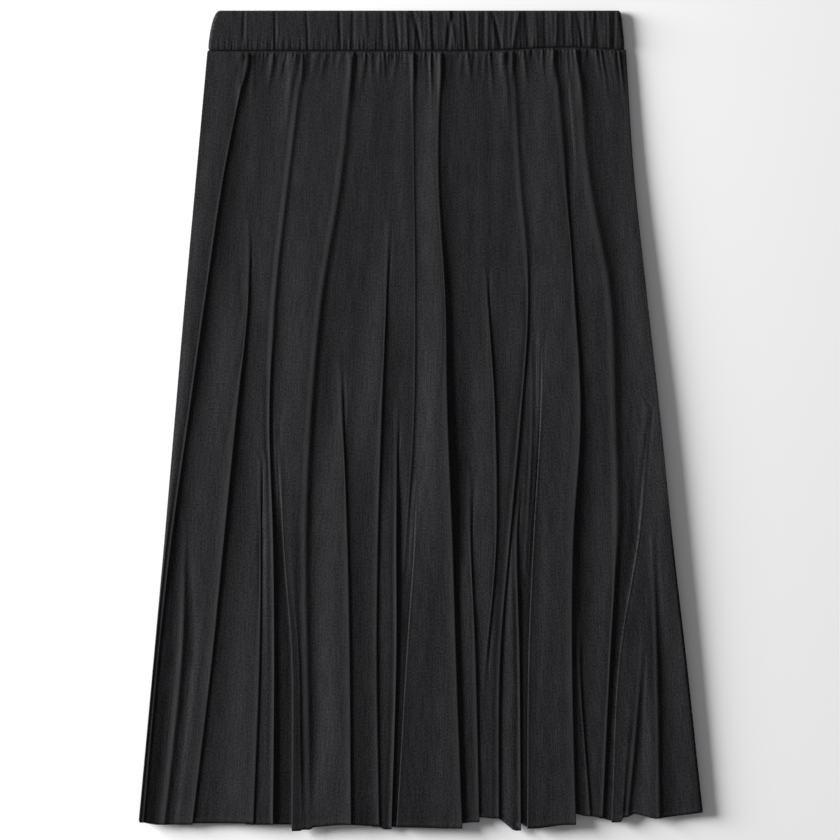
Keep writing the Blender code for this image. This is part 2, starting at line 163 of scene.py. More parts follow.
FRONT_FOLDS = [Fold(*row, FRONT_PLACES[row[0]]) for row in (
    # name           lean start  laps   ends tuck  mid rise  step reach climb groove hem foot
    ("left_side",      1,  -60,    20, NEVER,   1, 4.4, 5.6, 0.25,    9,   20,  0.4,   -4,   -4),
    ("left_roll",      1,  380, NEVER, NEVER,   0, 3.2, 2.4, 0.43,    9,   14,  1.1,   -2,   -2),
    ("left_outer",     1,  140,   230, NEVER,   9, 4.0, 2.2, 0.52,   14,   30,  0.4,   -2,   -3),
    ("left_inner",     1,  330,   420, NEVER,   6, 0.8, 3.7, 0.38,    8,   18,  0.4,   -3,   -2),
    ("left_ridge",     1,  -60,   320, NEVER,   4, 2.0, 3.3, 0.95,    7,   16,  0.9,   -2,   -2),
    ("left_facing",   -1,  300,   410, NEVER,   5, 3.2, 4.0, 1.28,    6,   11,  0.5,    3,   -2),
    ("second_ridge",   1,  -60, NEVER,   640,   0, 3.0, 1.8, 0.40,    9,   34,  0.4,    2,    0),
    ("second_lap",     1,  250,   342, NEVER,   8, 3.8, 5.0, 0.34,   14,   34,  0.3,   -2,   -2),
    ("centre_left",    1,  140,   232, NEVER,   6, 2.6, 2.7, 0.54,   12,   18,  0.4,   -1,    0),
    ("centre_lap",     1,  290,   380, NEVER,   4, 2.2, 1.4, 1.60,    7,   12,  0.9,    2,    0),
    ("centre_crease",  1,  -60, NEVER,   430,   0, 0.8, 0.8, 0.60,    3,   14,  0.2,    0,    0),
    ("centre_facing", -1,  350,   446, NEVER,   5, 3.2, 4.4, 1.20,    6,   20,  0.6,    0,    0),
    ("centre_right",   1,  -60,   215, NEVER,   9, 4.4, 4.0, 0.80,    4,   36,  0.3,    1,   -3),
    ("third_lap",      1,  345,   440, NEVER,   5, 3.0, 2.4, 0.60,    9,   14,  0.4,   -4,   -8),
    ("third_fade",     1,  180,   260,   520,   4, 2.6, 2.6, 0.54,    8,   20,  0.4,    0,    0),
    ("fourth_ridge",   1,  -60,   240, NEVER,   4, 1.3, 1.0, 1.10,    8,   16,  0.5,   -7,   -7),
    ("fourth_split",   1,  350,   446, NEVER,   4, 0.2, 0.9, 1.60,    5,   12,  0.8,    3,   -3),
    ("fifth_thin",     1,  235, NEVER,   430,   0, 0.4, 0.4, 0.60,    4,   12,  0.5,    0,    0),
    ("fifth_facing",  -1,  230,   325, NEVER,   6, 3.6, 4.2, 1.20,    6,   14,  0.7,    1,    0),
    ("fifth_lap",      1,  -60,   160, NEVER,   9, 4.4, 4.4, 0.50,    9,   36,  0.3,   -2,  -11),
    ("fifth_crease",   1,  440,   560, NEVER,   4, 2.8, 2.6, 0.55,    8,   10,  0.4,   -9,   -9),
    ("right_ridge",    1,  -60,   470, NEVER,   3, 3.0, 2.2, 0.90,   12,   20,  0.5,   -8,   -7),
    ("right_facing",  -1,  290,   430, NEVER,   7, 2.6, 3.2, 0.90,    6,   24,  0.6,   -4,   -5),
    ("right_groove",   1,  480, NEVER, NEVER,   0, 3.0, 2.2, 0.50,    6,   12,  0.5,   -8,  -11),
    ("right_outer",    1,  400, NEVER, NEVER,   0, 2.8, 3.0, 0.50,    6,   18,  0.4,   -7,   -8),
)]
print(len(FRONT_FOLDS), "folds in front,", sum(f.laps < NEVER for f in FRONT_FOLDS), "of them lap")

# %% Folds of the back panel, pressed flat on the floor
BACK_PLACES = {
    # distance down:        0  100   200   300   400   500   636
    "back_left":      (-128, -136, -146, -156, -166, -176, -188),
    "back_second":    ( -90,  -94, -100, -106, -113, -119, -127),
    "back_third":     ( -52,  -55,  -60,  -66,  -72,  -77,  -84),
    "back_middle":    ( -12,  -12,  -14,  -17,  -20,  -22,  -26),
    "back_right":     (  34,   37,   40,   45,   50,   55,   62),
    "back_sixth":     (  76,   80,   85,   92,   98,  104,  112),
    "back_seventh":   ( 116,  122,  131,  140,  148,  157,  168),
}
BACK_FOLDS = [Fold(*row, BACK_PLACES[row[0]]) for row in (
    # name           lean start  laps   ends tuck  mid rise  step reach climb groove hem foot
    ("back_left",     -1,   60,   145, NEVER,  18,   1,   1,    1,   12,   14,  0.4,  -10,  -12),
    ("back_second",    1,   20,   145, NEVER,  16,   1,   1,    1,   12,   14,  0.4,   -8,  -11),
    ("back_third",     1,   20,   145, NEVER,  18,   1,   1,    1,   12,   14,  0.4,   -9,  -11),
    ("back_middle",   -1,   20,   145, NEVER,  17,   1,   1,    1,   12,   14,  0.4,   -6,   -9),
    ("back_right",     1,   20,   225, NEVER,  19,   1,   1,    1,   12,   14,  0.4,   -8,  -12),
    ("back_sixth",     1,  150,   315, NEVER,  16,   1,   1,    1,   12,   14,  0.4,  -12,  -14),
    ("back_seventh",  -1,   20,   145, NEVER,  18,   1,   1,    1,   12,   14,  0.4,  -14,  -16),
)]
print(len(BACK_FOLDS), "folds in the back")

# %% [markdown]
# ## The profile of one fold
# Cut across, a pleat begins as a soft roll: up over a crest and down a slope. Further down the slope
# steepens until the crest hangs over, and the cloth then doubles back under itself, a Z. One set of seven
# knots serves both: they slide from the roll's slope to the corners of the Z as the fold closes, so the
# surface stays one grid from waist to hem.

# %% How a fold grows, closes and laps
GROWS_OVER, FADES_OVER = 110.0, 90.0
CLOSES_OVER = 90.0          # it steepens over this length before it laps
LAP_GROWS_OVER = 120.0
WAIST_RELIEF = 0.25         # its height at the waist as a share of that at mid length
MID_LENGTH = 300.0
CREST_SHARE = 0.6           # a soft crest begins this share of its reach before its top
CROWN_ROOM = 1.8            # the cloth stays level this far past the hidden turn
LAP_SLOPE = 0.3             # steepest cloth over its own return
FLANK_SHARE = 0.8           # slope there as a share of the fold's whole flank
HELD_SHARE = 0.5            # two ridges hold the cloth between them up by this share of their height
BRIDGED = 45.0              # the cloth hardly sags between a foot and a crest much closer than this
CREASE_REACH = 3.0          # a fold begins as a crease with this reach
TURN_ROOM = 2.0             # least cloth left between two neighbouring folds
RIM_ROOM = 1.2              # and between a fold and the side
EDGE_WIDTH = 2.0            # of the pressed edge, which stands a little proud of its own cloth
GROOVE_WIDTH = 6.0          # of the groove beside it, for each millimetre of its depth
SOFT_DIP, FULL_REACH = 0.8, 8.0     # a soft fold's foot dips this far, or less where its reach is narrower
# How a panel lies: pressed flat or not, how high a soft fold's foot stays as a share of its top, and how
# many knots the cloth has between two folds and beside the outer ones.
Lie = namedtuple("Lie", "flat soft_foot spare_knots side_knots")
FRONT_LIE = Lie(flat=False, soft_foot=0.6, spare_knots=4, side_knots=6)
BACK_LIE = Lie(flat=True, soft_foot=0.5, spare_knots=9, side_knots=8)
LEAST = 0.001               # keeps a width of nothing from being divided by
# Where the cloth beside a fold begins: its place and height, whether that is the fold's high side, and the
# width over which the cloth comes down from there.
End = namedtuple("End", "x height high width")


class FoldHere:
    """A fold as it is at one distance down: its place, its height, and how far it has closed."""

    def __init__(self, fold, down, lie):
        self.fold = fold
        self.place = along(fold.places, down)
        self.grown = smooth((down - fold.start) / GROWS_OVER) * smooth((fold.ends - down) / FADES_OVER)
        lap_end = fold.ends - CLOSES_OVER
        past, left_over = down - fold.laps, lap_end - down
        self.closing = min(smooth(past / CLOSES_OVER + 1), smooth(left_over / CLOSES_OVER + 1))
        lapping = min(smooth(past / LAP_GROWS_OVER), smooth(left_over / FADES_OVER))
        self.overhang = fold.tuck * lapping
        self.ahead = mix(CREASE_REACH, fold.reach, self.grown) * (1 - self.closing)
        self.behind = mix(CREST_SHARE * fold.reach, CROWN_ROOM + self.overhang, self.closing)
        self.behind = max(self.behind, GROOVE_WIDTH * fold.groove)
        self.relief = 1.0 if lie.flat else mix(WAIST_RELIEF, 1.0, min(1.0, down / MID_LENGTH))
        top = mix(fold.mid, fold.rise, smooth((down - MID_LENGTH) / (SKIRT_DROP - MID_LENGTH)))
        self.top = LAP_RISE if lie.flat else top
        self.dip = 0.0 if lie.flat else SOFT_DIP * min(1.0, fold.reach / FULL_REACH)
        drop = max(LAP_RISE, fold.step * self.top)
        self.foot = mix(self.top * lie.soft_foot, self.top - drop, self.closing)
        self.shoulder = self.top

    def settle(self, base):
        """Grow out of the cloth that lies there without this fold."""
        self.top = max(mix(base, self.top, self.grown * self.relief), LAP_RISE * self.closing)
        self.foot = min(mix(base, self.foot, self.grown * self.relief), self.top - LAP_RISE * self.closing)
        self.foot -= self.dip * self.grown * (1 - self.closing)
        flank = FLANK_SHARE * max(0.0, self.top - base) / (self.behind + self.fold.climb)
        self.shoulder = max(self.top - self.behind * min(LAP_SLOPE, flank), LAP_RISE * self.closing)

    def end(self, side):
        """The cloth on one side of the fold begins here."""
        if side != self.fold.lean:
            return End(self.place + self.behind * side, self.shoulder, True, self.fold.climb)
        return End(self.place + self.ahead * side, self.foot, False, 2 * self.fold.reach)

    def span(self, side):
        """The width that the fold takes on one side of its edge."""
        return self.behind if side != self.fold.lean else self.ahead

    def shrink(self, side, share):
        if side != self.fold.lean:
            self.behind *= share
            self.overhang *= share
        else:
            self.ahead *= share


print("a fold closes over", CLOSES_OVER, "mm and laps fully", LAP_GROWS_OVER, "mm further down")

# %% The cloth between two folds
def slope_share(end, away, span):
    """How much of an end's height the cloth still has this far away from it."""
    left_over = max(0.0, 1 - away / min(end.width, span))
    return 0.5 * (left_over + smooth(left_over)) if end.high else left_over ** 2


def cloth_height(x, left, right, lie):
    """Height of the cloth between two fold ends: it slopes away from a low one and climbs to a high one.
    Over a narrow space it is held up by its own stiffness."""
    if lie.flat:
        return LAP_RISE
    span = max(right.x - left.x, LEAST)
    from_left = min(1.0, max(0.0, (x - left.x) / span))
    left_share = slope_share(left, from_left * span, span)
    right_share = slope_share(right, (1 - from_left) * span, span)
    height = left.height * left_share + right.height * right_share
    between = (1 - left_share) * (1 - right_share)
    if left.high and right.high:
        return height + HELD_SHARE * min(left.height, right.height) * between
    bridged = 1 - smooth(span / BRIDGED)
    if left.high != right.high:
        height += (right.height if left.high else left.height) * bridged * between
    return height


def height_at(x, here, sides, lie):
    """Height of the cloth at a place.  Folds come in one by one, the most grown first, and each changes
    the cloth by as much as it has grown, so that none begins or ends with a jump."""
    left = End(sides.left, sides.left_rim, True, SIDE_ROLL)
    right = End(sides.right, sides.right_rim, True, SIDE_ROLL)
    left_place, right_place = sides.left, sides.right
    height = cloth_height(x, left, right, lie)
    for state in here:
        if left_place < state.place < x:
            left, left_place = state.end(+1), state.place
        elif x <= state.place < right_place:
            right, right_place = state.end(-1), state.place
        else:
            continue
        height = mix(height, cloth_height(x, left, right, lie), state.grown)
    return height


def folds_at(folds, down, sides, lie):
    """The folds that show at one section, most grown first, and narrowed where two of them would meet."""
    here = [FoldHere(fold, down, lie) for fold in folds]
    here = [state for state in here if state.grown > 0]
    for left, right in zip(here, here[1:]):
        room = right.place - left.place - TURN_ROOM
        taken = left.span(+1) + right.span(-1)
        if taken > room > 0:
            left.shrink(+1, room / taken)
            right.shrink(-1, room / taken)
    for state, side in [(state, -1) for state in here[:1]] + [(state, +1) for state in here[-1:]]:
        room = (state.place - sides.left if side < 0 else sides.right - state.place) - RIM_ROOM
        if state.span(side) > room:
            state.shrink(side, room / state.span(side))
    here.sort(key=lambda state: -state.grown)
    for number, state in enumerate(here):
        state.settle(height_at(state.place, here[:number], sides, lie))
    return here


low_sides = sides_at(SKIRT_DROP, FRONT_LIE)
low_folds = folds_at(FRONT_FOLDS, SKIRT_DROP, low_sides, FRONT_LIE)
print(len(low_folds), "folds at the hem, up to", round(max(state.top for state in low_folds), 1), "mm high")


# %% The seven knots of a fold
# Each knot: place across, height, hem drop, corner radius, how much highlight is painted on it along a
# pressed edge, and how far its yarns are offset from those beside it.
Knot = namedtuple("Knot", "x height hem radius pressed slip", defaults=(None,) * 6)
YARN_SLIP = 5.0             # the yarns on the two sides of a lap don't meet
SOFT_SLOPE = (0.25, 0.5, 0.75, 1.0)     # places of the last four knots on a soft slope
STEEP_SHARE = 0.6           # the slope falls within this share of its width
LIP_HIGHLIGHT, SOFT_HIGHLIGHT = 0.25, 0.35  # painted highlight on an edge's lip, and on a crest that has not closed
LIP_SHARE = 0.6             # depth of the groove before a fold that has not closed
LAMP_SIDE_HIGHLIGHT = 0.1            # the few edges that lap towards -X face the lamp and get hardly any painted highlight
EDGE_KNOT = 2               # the third knot is the edge, after the crown and the lip
FOLD_KNOTS = EDGE_KNOT + 1 + len(SOFT_SLOPE)
CROWN_RADIUS, CREASE_RADIUS, EDGE_RADIUS, TURN_RADIUS, FOOT_RADIUS = 3.0, 1.1, 0.45, 0.35, 1.6


def fold_knots(state, here, sides, lie):
    """From the fold's own cloth over its edge, under it, and out to the cloth beside it."""
    fold, lean, closing = state.fold, state.fold.lean, state.closing
    back = state.place - lean * state.behind
    around = height_at(back, here, sides, lie)
    crown = mix(mix(around, min(around, state.shoulder), state.grown), state.shoulder, closing)
    lip = min(EDGE_WIDTH, 0.5 * state.behind)
    closed = ((0.0, state.top - FOLD_DEPTH), (-state.overhang, crown - FOLD_DEPTH),
              (-state.overhang, crown - LAP_RISE), (0.0, state.foot))
    radii = [mix(CROWN_RADIUS, r, closing) for r in (EDGE_RADIUS, TURN_RADIUS, TURN_RADIUS, FOOT_RADIUS)]
    edge_radius = mix(CREASE_RADIUS, EDGE_RADIUS, closing)
    groove = fold.groove * state.grown
    lip_height = state.top - groove * state.relief * mix(LIP_SHARE, 1.0, closing)
    # Painted highlight along the pressed edge: full on edges that lap towards +X, away from the lamp.
    pressed = state.grown * mix(SOFT_HIGHLIGHT, 1.0, closing) * (1.0 if lean > 0 else LAMP_SIDE_HIGHLIGHT)
    knots = [Knot(back, crown, fold.hem, CROWN_RADIUS, 0.0),
             Knot(state.place - lean * lip, lip_height, fold.hem, edge_radius, LIP_HIGHLIGHT),
             Knot(state.place, state.top, fold.hem, edge_radius, pressed)]
    for step, (place, height), radius in zip(SOFT_SLOPE, closed, radii):
        x = mix(state.ahead * step, place, closing)
        soft_height = mix(state.top, state.foot, smooth(step / STEEP_SHARE))
        hem = mix(fold.hem, fold.foot, step)
        knots.append(Knot(state.place + lean * x, mix(soft_height, height, closing), hem, radius, 0.0))
    return knots if lean > 0 else knots[::-1]


print("a fold has", FOLD_KNOTS, "knots")


# %% [markdown]
# ## A section across a panel
# The knots of all folds, with a few spare ones in the cloth between, make one chain. A fold that has not
# begun yet has no knots of its own at that height, so its places are shared out evenly between its
# neighbours. Each knot of a fold then becomes two points, one before and one after its corner, which rounds
# every edge by its own radius without more modifiers.

# %% Sections
HEM_LEFT, HEM_RIGHT = -6.0, -12.0       # hem below the nominal drop at the two side seams
GATHER_FADE = 34.0          # the folds share the cloth out evenly above this distance
ARRIVAL = 90.0              # a fold's columns gather over this length before it begins
LEAST_SPACING = 0.2         # of two columns there, as a share of even spacing
WAITING_SHARE = 0.3         # they fill at most this share of the room on each side of the fold
CORNER_SHARE = 0.4          # a corner takes at most this share of the way to the next knot


def evenly(values):
    """Fill the gaps (None) of a list in equal steps between the values beside them."""
    known = [i for i, value in enumerate(values) if value is not None]
    filled = list(values)
    for low, high in zip(known, known[1:]):
        for i in range(low + 1, high):
            filled[i] = mix(values[low], values[high], (i - low) / (high - low))
    return filled


def in_order(values, fixed):
    """Put each run of free values in order between the fixed ones beside it."""
    known = [i for i, is_fixed in enumerate(fixed) if is_fixed]
    ordered = list(values)
    for low, high in zip(known, known[1:]):
        count = high - low
        least = LEAST_SPACING * (values[high] - values[low]) / count
        for i, value in enumerate(sorted(values[low + 1:high]), 1):
            lowest = max(values[low] + i * least, ordered[low + i - 1] + least)
            ordered[low + i] = min(max(value, lowest), values[high] - (count - i) * least)
    return ordered


def yarn_slips(folds, by_fold, lie):
    """Offset of the yarns at each knot of a section: every second lap moves them back again."""
    slips = [0.0] * (1 + lie.side_knots)
    for number, fold in enumerate(folds):
        before = slips[-1]
        closing = by_fold[fold].closing * by_fold[fold].grown if fold in by_fold else 0.0
        after = mix(before, YARN_SLIP * (number % 2), closing)
        slips += [mix(before, after, (i + 0.5) / FOLD_KNOTS) for i in range(FOLD_KNOTS)]
        slips += [after] * (lie.side_knots if fold is folds[-1] else lie.spare_knots)
    return slips + [slips[-1]]


def waiting_knots(fold, by_fold, folds, down, sides):
    """Places for the columns of a fold that begins soon or has just ended, and how far they have come."""
    away = fold.start - down if down < fold.start else down - fold.ends
    arrival = 1 - smooth(away / ARRIVAL)
    if arrival <= 0:
        return [None] * FOLD_KNOTS, 0.0
    number = folds.index(fold)
    lefts = [by_fold[f].place + by_fold[f].span(+1) for f in folds[:number] if f in by_fold]
    rights = [by_fold[f].place - by_fold[f].span(-1) for f in folds[number + 1:] if f in by_fold]
    low, high = (lefts or [sides.left])[-1], (rights or [sides.right])[0]
    half = max(0.0, min(fold.reach, WAITING_SHARE * (high - low)))
    middle = min(max(along(fold.places, down), low + half), high - half)
    steps = [2 * (i + 1) / (FOLD_KNOTS + 1) - 1 for i in range(FOLD_KNOTS)]
    return [middle + half * step for step in steps], arrival


def chain(folds, lie, down):
    """Knots of one section, the same number at every distance down."""
    sides = sides_at(down, lie)
    here = folds_at(folds, down, sides, lie)
    by_fold = {state.fold: state for state in here}
    knots = [Knot(sides.left, sides.left_rim, HEM_LEFT, 0.0, 0.0)] + [Knot()] * lie.side_knots
    at_seam = [sides.left] + [None] * lie.side_knots
    waiting = [sides.left] + [None] * lie.side_knots
    arrivals = [0.0] + [None] * lie.side_knots
    for fold in folds:
        spare = lie.side_knots if fold is folds[-1] else lie.spare_knots
        if fold in by_fold:
            own = fold_knots(by_fold[fold], here, sides, lie)
            places, arrival = [knot.x for knot in own], None
        else:
            own = [Knot()] * FOLD_KNOTS
            places, arrival = waiting_knots(fold, by_fold, folds, down, sides)
        knots += own + [Knot()] * spare
        waiting += places + [None] * spare
        arrivals += [arrival] * FOLD_KNOTS + [None] * spare
        middle = [None] * FOLD_KNOTS
        if fold.start < 0:
            middle[EDGE_KNOT if fold.lean > 0 else -1 - EDGE_KNOT] = fold.places[0]
        at_seam += middle + [None] * spare
    knots.append(Knot(sides.right, sides.right_rim, HEM_RIGHT, 0.0, 0.0))
    arrivals.append(0.0)
    spread = 1 - smooth(down / GATHER_FADE)
    even_places = evenly([k.x for k in knots])
    gathering = zip(even_places, evenly(waiting + [sides.right]), evenly(arrivals))
    places = [mix(x, waiting_x, arrival) for x, waiting_x, arrival in gathering]
    places = [x if k.x is None else k.x for x, k in zip(places, knots)]
    places = in_order(places, [k.x is not None for k in knots])
    columns = zip(knots, places, evenly([k.hem for k in knots]), evenly(at_seam + [sides.right]),
                  yarn_slips(folds, by_fold, lie))
    filled = []
    for knot, x, hem, even_x, slip in columns:
        height = height_at(x, here, sides, lie) if knot.height is None else knot.height
        radius = CROWN_RADIUS if knot.radius is None else knot.radius
        # The painted highlight fades out towards the waist, where the folds share the cloth out evenly.
        pressed = (knot.pressed or 0.0) * (1 - spread)
        filled.append(Knot(mix(x, even_x, spread), height, hem, radius, pressed, slip))
    return filled


def rounded(knots, doubled):
    """Points of a section: each doubled knot gives one point before its corner and one after."""
    points = []
    for i, knot in enumerate(knots):
        if not doubled[i]:
            points.append(knot)
            continue
        for other in (knots[i - 1], knots[i + 1]):
            length = math.hypot(other.x - knot.x, other.height - knot.height)
            share = min(knot.radius / max(length, LEAST), CORNER_SHARE)
            points.append(Knot(mix(knot.x, other.x, share), mix(knot.height, other.height, share),
                               mix(knot.hem, other.hem, share), knot.radius, knot.pressed,
                               mix(knot.slip, other.slip, share)))
    return points


def doubled_knots(folds, lie):
    """Which knots of a section become two points: those of the folds."""
    flags = [False] * (1 + lie.side_knots)
    for fold in folds:
        spare = lie.side_knots if fold is folds[-1] else lie.spare_knots
        flags += [True] * FOLD_KNOTS + [False] * spare
    return flags + [False]


front_doubled = doubled_knots(FRONT_FOLDS, FRONT_LIE)
print("front panel:", len(front_doubled), "knots,", len(front_doubled) + sum(front_doubled), "points")

# %% [markdown]
# ## Small relief
# Between the folds the cloth is never quite flat. Elastic gathers the waist into puckers a few millimetres
# wide, most of which run out within 5 cm of the seam, and the panel has long, faint waves. Both are added to
# the height of each point. Perlin noise stretched down the skirt gives the waves, because they must be
# uneven but the same on each run.

# %% Puckers below the waist seam
PUCKER_PITCH = 4.4          # mean distance between two puckers below the seam
STITCH_PITCH = 3.0          # and between the small dimples at its stitches
FANNING = 0.0005            # puckers spread with the panel, this much for each millimetre down
Pucker = namedtuple("Pucker", "x length width height slant")
# The mean one, and how far the others differ from it; here x is in pitches.
SMALL_PUCKER, PUCKER_SPREAD = Pucker(0.5, 28, 1.7, 0.7, 0.0), Pucker(0.38, 24, 0.8, 0.6, 0.16)
DIMPLE, DIMPLE_SPREAD = Pucker(0.5, 8, 0.75, -0.8, 0.0), Pucker(0.25, 3, 0.0, -0.35, 0.0)
OUT_OF_REACH = 3            # a pucker is no longer felt this many widths away
DRAW_STEP, SEED_STEP, DRAW_GAIN = 7.31, 3.7, 1.8
# Larger creases below the waist seam, listed one by one.
WAIST_CREASES = [Pucker(*row) for row in (
    #    x  length width height slant
    (-141.0, 70.0, 2.6,  1.1, -0.10),
    (-121.0, 34.0, 2.2,  0.8, -0.06),
    (-104.0, 80.0, 2.4,  1.2, -0.05),
    (-84.0,  30.0, 2.0,  0.7, -0.04),
    (-57.0,  60.0, 2.4,  1.1,  0.00),
    (-33.0,  26.0, 2.0,  0.7, -0.02),
    (-7.0,   75.0, 1.6,  0.9,  0.01),
    (16.0,   55.0, 2.4,  1.0, -0.03),
    (38.0,   28.0, 2.0,  0.8,  0.02),
    (67.0,   70.0, 2.4,  1.2,  0.05),
    (84.0,   40.0, 2.2,  1.0,  0.04),
    (109.0,  48.0, 2.2,  1.0,  0.05),
    (127.0,  75.0, 2.4,  1.2,  0.07),
    (143.0,  34.0, 2.0,  0.9,  0.08),
    (158.0,  40.0, 2.0,  0.9,  0.06),
)]


def jitter(number, seed):
    """A repeatable value from -1 to 1: noise read at places far apart, and stretched to that range."""
    place = Vector((number * DRAW_STEP, seed * SEED_STEP, 0.5))
    return max(-1.0, min(1.0, DRAW_GAIN * noise.noise(place)))


def pucker_row(left, right, seed):
    """Small uneven puckers all along the seam."""
    count = round((right - left) / PUCKER_PITCH)
    mean, spread = SMALL_PUCKER, PUCKER_SPREAD
    row = []
    for i in range(count):
        row.append(Pucker(left + (i + mean.x + spread.x * jitter(i, seed)) * (right - left) / count,
                          mean.length + spread.length * jitter(i, seed + 1),
                          mean.width + spread.width * jitter(i, seed + 2),
                          mean.height + spread.height * jitter(i, seed + 3),
                          mean.slant + spread.slant * jitter(i, seed + 4)))
    return row


def stitch_row(left, right, seed):
    """Dimples where the stitches pull the cloth in."""
    count = round((right - left) / STITCH_PITCH)
    mean, spread = DIMPLE, DIMPLE_SPREAD
    row = []
    for i in range(count):
        row.append(Pucker(left + (i + mean.x + spread.x * jitter(i, seed)) * (right - left) / count,
                          mean.length + spread.length * jitter(i, seed + 1), mean.width,
                          mean.height + spread.height * jitter(i, seed + 2), mean.slant))
    return row


def pucker_height(x, down, puckers):
    """Height of the puckers at one point, which fan out with the panel."""
    total = 0.0
    for pucker in puckers:
        if down > pucker.length:
            continue
        middle = pucker.x * (1 + FANNING * down) + pucker.slant * down
        offset = (x - middle) / pucker.width
        if abs(offset) < OUT_OF_REACH:
            total += pucker.height * math.exp(-offset * offset) * (1 - smooth(down / pucker.length))
    return total


print("waist creases placed by hand:", len(WAIST_CREASES))

# %% Waves
WAVE_HEIGHT = 0.6           # of the long waves
LONG_WAVE, SHORT_WAVE, SHORT_SHARE = (22, 130), (9, 60), 0.4    # sizes across and down, height of the short


def waves(x, down, seed):
    """Long faint waves, stretched down the skirt."""
    long_wave = noise.noise(Vector((x / LONG_WAVE[0], down / LONG_WAVE[1], seed)))
    short_wave = noise.noise(Vector((x / SHORT_WAVE[0], down / SHORT_WAVE[1], seed + 5)))
    return WAVE_HEIGHT * (long_wave + SHORT_SHARE * short_wave)


print("a long wave is about", LONG_WAVE[0], "mm wide and", LONG_WAVE[1], "mm long")

# %% The waist seam and the hem
SEAM_LIFT, LIFT_AT, LIFT_WIDTH = 3.0, 118.0, 45.0   # the waist seam rides up towards the right
LIFT_FADE = 100.0
HEM_SHAPED, HEM_SHARPNESS = 480.0, 1.5  # the stepped hem begins to tell here
HEM_TURN = 6.0              # width of the turned hem
HEM_RISE, HEM_EDGE = 0.3, 2.0           # its extra layer, and the width over which that begins
STITCH_GROOVE, STITCH_WIDTH = 0.35, 1.6
TUCKED_IN, TUCKED_WIDTH = 3.0, 0.965    # seam allowance inside the band, and its share of the width


def seam_lift(x):
    """How far the waist seam rides up at a place."""
    return SEAM_LIFT * math.exp(-((x - LIFT_AT) / LIFT_WIDTH) ** 2)


def place_across(x, down):
    """X of a point: the seam allowance is narrower, to fit inside the band."""
    return x * mix(1.0, TUCKED_WIDTH, 1 - smooth((down + TUCKED_IN) / TUCKED_IN))


def place_down(x, hem, down):
    """Y of a point: the seam rides up to the right, and each fold has its own hem."""
    near_seam = 1 - smooth(down / LIFT_FADE)
    near_hem = max(0.0, (down - HEM_SHAPED) / (SKIRT_DROP - HEM_SHAPED)) ** HEM_SHARPNESS
    return SEAM_Y - SEAM_GAP / 2 + seam_lift(x) * near_seam - down - hem * near_hem


def hem_relief(down):
    """The turned hem is double, and its stitching pulls a shallow groove."""
    from_hem = SKIRT_DROP - down
    groove = math.exp(-((from_hem - HEM_TURN) / STITCH_WIDTH) ** 2)
    return HEM_RISE * smooth((HEM_TURN - from_hem) / HEM_EDGE) - STITCH_GROOVE * groove


print("the waist seam rides up by", round(seam_lift(LIFT_AT), 1), "mm at most")

# %% [markdown]
# ## A panel of cloth
# A panel starts as a flat grid, as cloth does on the cutting table. Each of its points knows its column
# and row, and is carried to its place on the folded section. The grid also keeps a UV map with the flat
# cloth's own millimetres, so that the weave follows the folds. Solidify gives the wall its thickness at
# the end.

# %% Rows down a panel
def rows_down(steps):
    """Distances down, from (up to, step) pairs: closer where the cloth has more detail."""
    rows = [-TUCKED_IN]
    for limit, step in steps:
        count = round((limit - rows[-1]) / step)
        start = rows[-1]
        rows += [mix(start, limit, (i + 1) / count) for i in range(count)]
    return rows


FRONT_ROWS = rows_down(((0, 3.0), (4, 1.0), (60, 2.8), (120, 5.0), (606, 10.8), (636, 2.7)))
BACK_ROWS = rows_down(((0, 3.0), (4, 2.0), (40, 4.5), (120, 8.0), (606, 16.0), (636, 4.0)))
print(len(FRONT_ROWS), "rows in front and", len(BACK_ROWS), "in the back")


# %% Carry a flat grid to its place
SEAM_ROLL = 3.2             # a panel turns down into the waist seam over this length
RISE_SHARE = 0.5            # share of a rise that the cloth's own length takes up
CURL_IN = 0.9               # how far the cloth turns in under itself at a side seam
LEFT_CORNER, RIGHT_CORNER = 0.8, 2.5    # width of the turn's corner at each side


def cloth_from_grid(name, grid, right_side_up):
    """A grid mesh whose points are carried to the rows given: place, place on the flat cloth, painted
    highlight.
    """
    columns, rows = len(grid[0]), len(grid)
    bm = bmesh.new()
    bmesh.ops.create_grid(bm, x_segments=columns - 1, y_segments=rows - 1, size=0.5)
    uv = bm.loops.layers.uv.new("flat_cloth")
    # This layer holds the highlight painted along the pressed edges.
    pressed = bm.verts.layers.float.new("pressed")
    flat = {}
    for vert in bm.verts:
        i = round((vert.co.x + 0.5) * (columns - 1))
        j = round((0.5 - vert.co.y) * (rows - 1))
        place, flat[vert.index], vert[pressed] = grid[j][i]
        vert.co = place
    for face in bm.faces:
        face.smooth = True
        for loop in face.loops:
            loop[uv].uv = flat[loop.vert.index]
    if not right_side_up:
        bmesh.ops.reverse_faces(bm, faces=bm.faces)
    mesh = bpy.data.meshes.new(name)
    bm.to_mesh(mesh)
    bm.free()
    piece = bpy.data.objects.new(name, mesh)
    bpy.context.scene.collection.objects.link(piece)
    return piece


def flat_place(knot, down, sides):
    """Where a point lay on the flat cloth, in metres: the yarns fan out with the panel."""
    hem_width = along(RIGHT_EDGE, SKIRT_DROP) - along(LEFT_EDGE, SKIRT_DROP)
    share = (knot.x - sides.left) / (sides.right - sides.left)
    return (share * hem_width + knot.slip + RISE_SHARE * knot.height) * MM, -down * MM


def curled_under(point, inwards, down):
    """The cloth turns under at a side seam, down to the back panel."""
    place, (u, v), _ = point
    low = mix(place.z / MM - CURL_IN, SIDE_FLOOR, smooth(down / SEAM_ROLL))
    turned = Vector((place.x + inwards * CURL_IN * MM, place.y, low * MM))
    return turned, (u - inwards * (turned - place).length, v), 0.0


